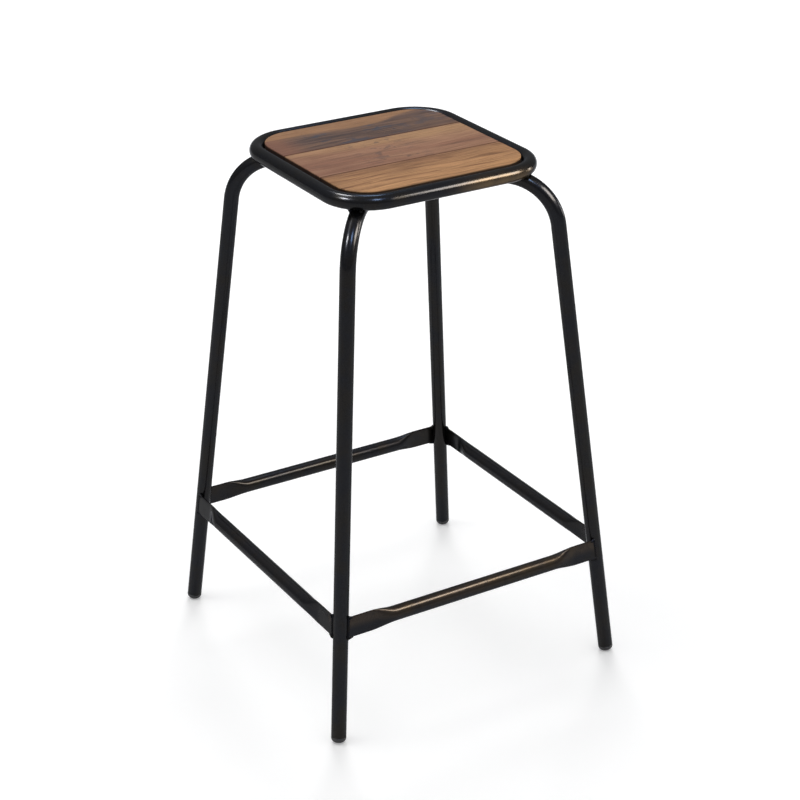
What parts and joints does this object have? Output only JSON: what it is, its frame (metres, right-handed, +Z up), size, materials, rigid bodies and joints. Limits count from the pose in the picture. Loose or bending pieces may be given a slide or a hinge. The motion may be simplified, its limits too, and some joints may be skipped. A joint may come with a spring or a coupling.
{
  "type": "bar stool with footrest",
  "caption": "Square backless bar stool: planked wood seat inside a round-cornered steel tube hoop, splayed bent-tube legs, and footrest tubes with flattened ends low down.",
  "frame": {"origin": "middle of the stool on the floor, below the centre of the seat", "axes": "+Z up through the seat; the boards run along X; -Y is the front, the side with the honey-coloured board, and +X is its right as seen from the front"},
  "size_m": [0.4728, 0.4728, 0.75],
  "materials": {
    "frame_steel": "dark gunmetal steel under a worn semi-gloss clear lacquer, with brown and bronze rub marks",
    "footrest_steel": "the same lacquered dark steel, duller and more worn where feet rest",
    "weld_steel": "rippled weld beads under the same dark lacquer",
    "honey_board": "oiled reclaimed board, honey brown with fine darker grain, satin",
    "brown_board": "oiled reclaimed board, reddish brown, satin",
    "grey_board": "oiled reclaimed board, grey brown with dark streaks and a tan rear edge, satin",
    "foot_plug": "black plastic tube plug with a rounded end, slightly scuffed",
    "screw_zinc": "zinc-plated pan head wood screws"
  },
  "bodies": {
    "root": {"seat_ring": "frame_steel", "plank_front": "honey_board", "plank_middle": "brown_board", "plank_back": "grey_board", "leg_front_left": "frame_steel", "leg_front_right": "frame_steel", "leg_back_left": "frame_steel", "leg_back_right": "frame_steel", "footrest_front": "footrest_steel", "footrest_right": "footrest_steel", "footrest_back": "footrest_steel", "footrest_left": "footrest_steel", "foot_front_left": "foot_plug", "foot_front_right": "foot_plug", "foot_back_left": "foot_plug", "foot_back_right": "foot_plug", "ring_welds": "weld_steel", "footrest_welds": "weld_steel", "cross_welds": "weld_steel", "seat_screws": "screw_zinc"}
  },
  "joints": []
}
